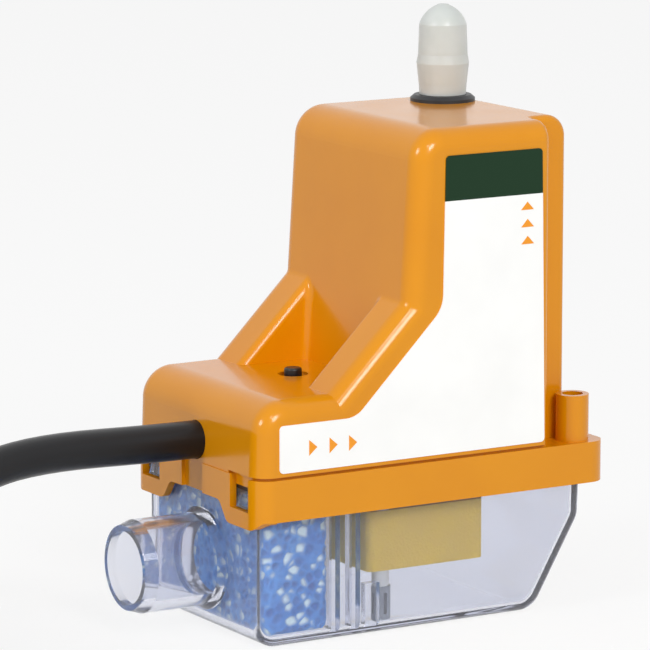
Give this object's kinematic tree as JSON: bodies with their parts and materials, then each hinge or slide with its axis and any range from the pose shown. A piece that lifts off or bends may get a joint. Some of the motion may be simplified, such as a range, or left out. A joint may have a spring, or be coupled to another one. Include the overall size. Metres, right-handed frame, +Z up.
{
  "type": "condensate pump",
  "caption": "Small condensate pump: clear tank with foam filter and float, clipped under a moulded housing with test button, capped outlet and coiled mains lead.",
  "frame": {"origin": "middle of the box around tank and housing without the lead, on the tank's underside", "axes": "+Z up, +X from the inlet spigot to the rear, +Y away from the label side"},
  "size_m": [0.2008, 0.09, 0.1107],
  "materials": {
    "orange_abs": "moulded gloss",
    "clear_tank": "clear moulded polycarbonate",
    "black_rubber": "matt",
    "blue_foam": "open cell foam",
    "yellow_float": "closed cell foam",
    "dark_magnet": "sintered",
    "nylon": "natural moulded",
    "grey_plastic": "moulded",
    "silicone": "translucent",
    "plated_steel": "zinc plated",
    "black_plastic": "moulded",
    "bronze": "sintered",
    "steel": "ground",
    "laminated_steel": "stacked sheets",
    "copper": "enamelled wire",
    "grey_foam": "damping foam",
    "white_cap": "milky soft plastic",
    "green_board": "solder resist",
    "core_insulation": "soft extruded",
    "core_brown": "soft extruded",
    "core_blue": "soft extruded",
    "cable_sheath": "satin extruded",
    "tie_band": "satin",
    "label_white": "satin film"
  },
  "bodies": {
    "reservoir": {"tank": "clear_tank", "tank_gasket": "black_rubber", "filter_foam": "blue_foam", "lead_coil": "cable_sheath", "coil_tie": "tie_band", "lead_tail": "cable_sheath", "core_live": "core_brown", "core_neutral": "core_blue", "core_alarm": "core_insulation"},
    "pump_body": {"upper_casing": "orange_abs", "base_skirt": "orange_abs", "clip_lugs": "orange_abs", "float_pins": "nylon", "suction_pipe": "nylon", "suction_strainer": "grey_plastic", "suction_hose": "silicone", "outlet_hose": "silicone", "motor_mount": "black_rubber", "motor_can": "plated_steel", "motor_cap": "black_plastic", "motor_bearings": "bronze", "stator_core": "laminated_steel", "stator_coils": "copper", "chamber_body": "black_plastic", "diaphragm": "black_rubber", "valve_plate": "grey_plastic", "suction_valves": "black_rubber", "discharge_valve": "black_rubber", "head_cover": "black_plastic", "head_screws": "plated_steel", "damper_pads": "grey_foam", "outlet_spigot": "nylon", "outlet_grommet": "black_rubber", "circuit_board": "green_board", "board_screws": "plated_steel", "board_transformer": "laminated_steel", "board_capacitors": "black_plastic", "terminal_block": "grey_plastic", "tact_switch": "black_plastic", "hall_board": "green_board", "inner_cores": "core_insulation", "motor_leads": "core_insulation", "cable_clamp": "nylon", "clamp_screws": "plated_steel", "casing_screws": "plated_steel", "label_plate": "label_white", "mains_lead": "cable_sheath"},
    "float": {"float_block": "yellow_float", "float_magnet": "dark_magnet"},
    "button": {"test_button": "black_plastic"},
    "cap": {"transit_cap": "white_cap"},
    "rotor": {"motor_shaft": "steel", "rotor_magnet": "dark_magnet", "crank_hub": "nylon", "wobble_pin": "steel"},
    "wobbler": {"wobble_plate": "black_plastic"}
  },
  "joints": [
    {"name": "tank_release", "type": "slide", "parent": "reservoir", "child": "pump_body", "axis": [0, 0, 1], "range_m": [0, 0.03], "deforming": ["clip_lugs"]},
    {"name": "float_rise", "type": "slide", "parent": "pump_body", "child": "float", "axis": [0, 0, 1], "range_m": [0, 0.0065]},
    {"name": "button_press", "type": "slide", "parent": "pump_body", "child": "button", "axis": [0, 0, -1], "range_m": [0, 0.0008], "stiffness_N_per_m": 600},
    {"name": "cap_pull", "type": "slide", "parent": "pump_body", "child": "cap", "axis": [0, 0, 1], "range_m": [0, 0.03]},
    {"name": "rotor_spin", "type": "hinge", "parent": "pump_body", "child": "rotor", "pos_m": [0.0209, 0, 0.045], "axis": [0, 0, 1], "continuous": true, "deforming": ["diaphragm"]},
    {"name": "wobble", "type": "hinge", "parent": "rotor", "child": "wobbler", "pos_m": [0.0209, 0, 0.0645], "axis": [0.1045, 0, 0.9945], "continuous": true}
  ],
  "couplings": [
    {"joint": "wobble", "follows": "rotor_spin", "ratio": -1}
  ]
}
